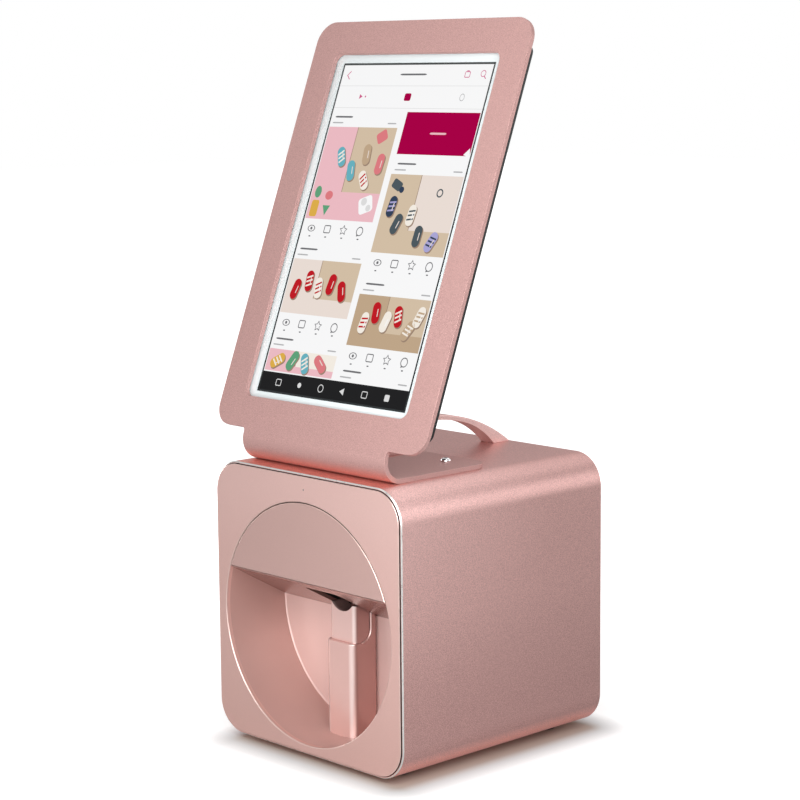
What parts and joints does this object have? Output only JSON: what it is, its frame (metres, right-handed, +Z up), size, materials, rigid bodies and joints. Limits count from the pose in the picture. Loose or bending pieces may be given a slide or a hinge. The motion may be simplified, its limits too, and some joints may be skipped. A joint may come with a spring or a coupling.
{
  "type": "digital nail art printer",
  "caption": "Free-standing nail printer: a rounded metal cube with a round hand bowl, a finger rest, a carry handle and a tablet leaning on a bent sheet.",
  "frame": {"origin": "middle of the overall box, on the plane that the rubber feet stand on", "axes": "+Z up, the front with the hand bowl faces -Y, +X to the right of a person who faces the front"},
  "size_m": [0.192, 0.1784, 0.4571],
  "materials": {
    "rose_shell": "sand-blasted, anodised rose gold",
    "rose_panel": "fine satin, anodised rose gold",
    "rose_sheet": "satin, anodised rose gold",
    "rose_moulding": "satin rose lacquer on a moulding",
    "rose_ceiling": "polished rose lacquer on a moulding",
    "dark_moulding": "black moulding, fine grain",
    "guide_plastic": "natural bearing plastic",
    "steel_sheet": "zinc-plated folded sheet",
    "ground_steel": "ground and polished",
    "screw_chrome": "polished screw",
    "black_steel": "black can",
    "spring_steel": "spring wire",
    "foot_rubber": "soft rubber",
    "belt_rubber": "toothed belt, plain here",
    "foam_tape": "black foam tape",
    "white_plastic": "glossy white",
    "case_plastic": "black, fine grain",
    "display_glass": "lit display under cover glass",
    "circuit_green": "circuit board",
    "battery_wrap": "wrapped cells",
    "pulley_alloy": "turned",
    "lamp_clear": "clear light guide",
    "cartridge_plastic": "cartridge tank"
  },
  "bodies": {
    "housing": {"outer_shell": "rose_shell", "front_panel": "rose_panel", "hand_bowl": "rose_moulding", "hood_ceiling": "rose_ceiling", "print_shroud": "dark_moulding", "finger_post": "rose_moulding", "rest_guide_pins": "ground_steel", "finger_rest_spring": "spring_steel", "cover_seat": "dark_moulding", "cover_magnets": "ground_steel", "status_lamp": "lamp_clear", "base_chassis": "steel_sheet", "frame_crossbar": "steel_sheet", "frame_side_left": "steel_sheet", "frame_side_right": "steel_sheet", "y_rods": "ground_steel", "y_motor": "black_steel", "service_station": "dark_moulding", "camera_module": "dark_moulding", "nail_lamp": "lamp_clear", "rear_panel": "rose_panel", "switch_housing": "dark_moulding", "power_inlet": "dark_moulding", "usb_socket": "steel_sheet", "fan_frame": "dark_moulding", "main_board": "circuit_green", "board_pillars": "pulley_alloy", "tie_posts": "pulley_alloy", "rear_panel_screws": "screw_chrome", "feet": "foot_rubber", "foot_screws": "screw_chrome", "carry_handle": "rose_sheet", "handle_screws": "screw_chrome", "tablet_bracket": "rose_sheet", "bracket_screws": "screw_chrome", "tablet_tape": "foam_tape", "front_bezel": "white_plastic", "display_panel": "display_glass", "rear_case": "case_plastic", "tablet_battery": "battery_wrap", "tablet_board": "circuit_green"},
    "brow": {"brow_cover": "rose_panel"},
    "finger_saddle": {"finger_rest": "rose_moulding"},
    "print_stage": {"stage_frame": "steel_sheet", "stage_bearings": "guide_plastic", "x_rods": "ground_steel", "x_motor": "black_steel", "idler_bush": "guide_plastic", "x_belt": "belt_rubber"},
    "carriage": {"x_carriage": "dark_moulding", "ink_cartridge": "cartridge_plastic"},
    "drive_wheel": {"drive_pulley": "pulley_alloy"},
    "idler_wheel": {"idler_pulley": "pulley_alloy"},
    "lead_screw": {"y_lead_screw": "ground_steel"},
    "fan": {"fan_rotor": "dark_moulding"},
    "rocker": {"power_rocker": "dark_moulding"},
    "power_key": {"tablet_power_key": "case_plastic"},
    "volume_key": {"tablet_volume_key": "case_plastic"}
  },
  "joints": [
    {"name": "brow_cover_pull", "type": "slide", "parent": "housing", "child": "brow", "axis": [0, -1, 0], "range_m": [0, 0.025]},
    {"name": "finger_rest_press", "type": "slide", "parent": "housing", "child": "finger_saddle", "axis": [0, 0, -1], "range_m": [0, 0.012], "stiffness_N_per_m": 150, "springref_m": -0.005, "deforming": ["finger_rest_spring"]},
    {"name": "y_stage_slide", "type": "slide", "parent": "housing", "child": "print_stage", "axis": [0, 1, 0], "range_m": [-0.008, 0.016]},
    {"name": "x_carriage_slide", "type": "slide", "parent": "print_stage", "child": "carriage", "axis": [1, 0, 0], "range_m": [-0.04, 0.04]},
    {"name": "lead_screw_turn", "type": "hinge", "parent": "housing", "child": "lead_screw", "pos_m": [0, 0.03, 0.15], "axis": [0, 1, 0], "range_deg": [-362, 722]},
    {"name": "drive_pulley_turn", "type": "hinge", "parent": "print_stage", "child": "drive_wheel", "pos_m": [0.056, 0.01, 0.1365], "axis": [0, 0, 1], "range_deg": [-384, 384]},
    {"name": "idler_pulley_turn", "type": "hinge", "parent": "print_stage", "child": "idler_wheel", "pos_m": [-0.056, 0.01, 0.1365], "axis": [0, 0, 1], "range_deg": [-384, 384]},
    {"name": "fan_spin", "type": "hinge", "parent": "housing", "child": "fan", "pos_m": [-0.04, 0.0805, 0.062], "axis": [0, 1, 0], "continuous": true},
    {"name": "power_rocker_tilt", "type": "hinge", "parent": "housing", "child": "rocker", "pos_m": [0.048, 0.0848, 0.04], "axis": [1, 0, 0], "range_deg": [0, 16]},
    {"name": "tablet_power_press", "type": "slide", "parent": "housing", "child": "power_key", "axis": [0, -0.3584, -0.9336], "range_m": [0, 0.0004], "stiffness_N_per_m": 800, "springref_m": -0.0005},
    {"name": "tablet_volume_tilt", "type": "hinge", "parent": "housing", "child": "volume_key", "pos_m": [0.038, 0.02162, 0.44047], "axis": [0, -0.9336, 0.3584], "range_deg": [-1.2, 1.2], "stiffness_Nm_per_rad": 0.05}
  ],
  "couplings": [
    {"joint": "lead_screw_turn", "follows": "y_stage_slide", "rad_per_m": 785.4},
    {"joint": "drive_pulley_turn", "follows": "x_carriage_slide", "rad_per_m": 166.67},
    {"joint": "idler_pulley_turn", "follows": "x_carriage_slide", "rad_per_m": 166.67}
  ]
}
